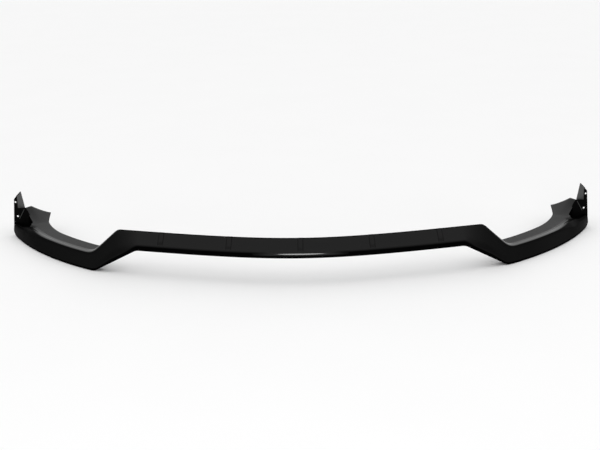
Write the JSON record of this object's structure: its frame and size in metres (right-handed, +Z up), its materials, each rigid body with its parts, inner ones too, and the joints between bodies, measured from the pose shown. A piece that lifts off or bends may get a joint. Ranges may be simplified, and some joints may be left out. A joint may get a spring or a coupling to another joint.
{
  "type": "front splitter lip",
  "caption": "Thin moulded lip that continues a car's front bumper downwards, with a raised centre band, two swept wings with flat shelves and a drilled upright flange at each rear end.",
  "frame": {"origin": "middle of the part's box across the car and along it, at the height of the wings' low edges, on which it stands", "axes": "+X across the car, -Y towards the front of the car, +Z up"},
  "size_m": [1.742, 0.5646, 0.128],
  "materials": {
    "lip": "gloss black outside, satin on the shelves and inside"
  },
  "bodies": {
    "root": {"splitter_lip": "lip"}
  },
  "joints": []
}
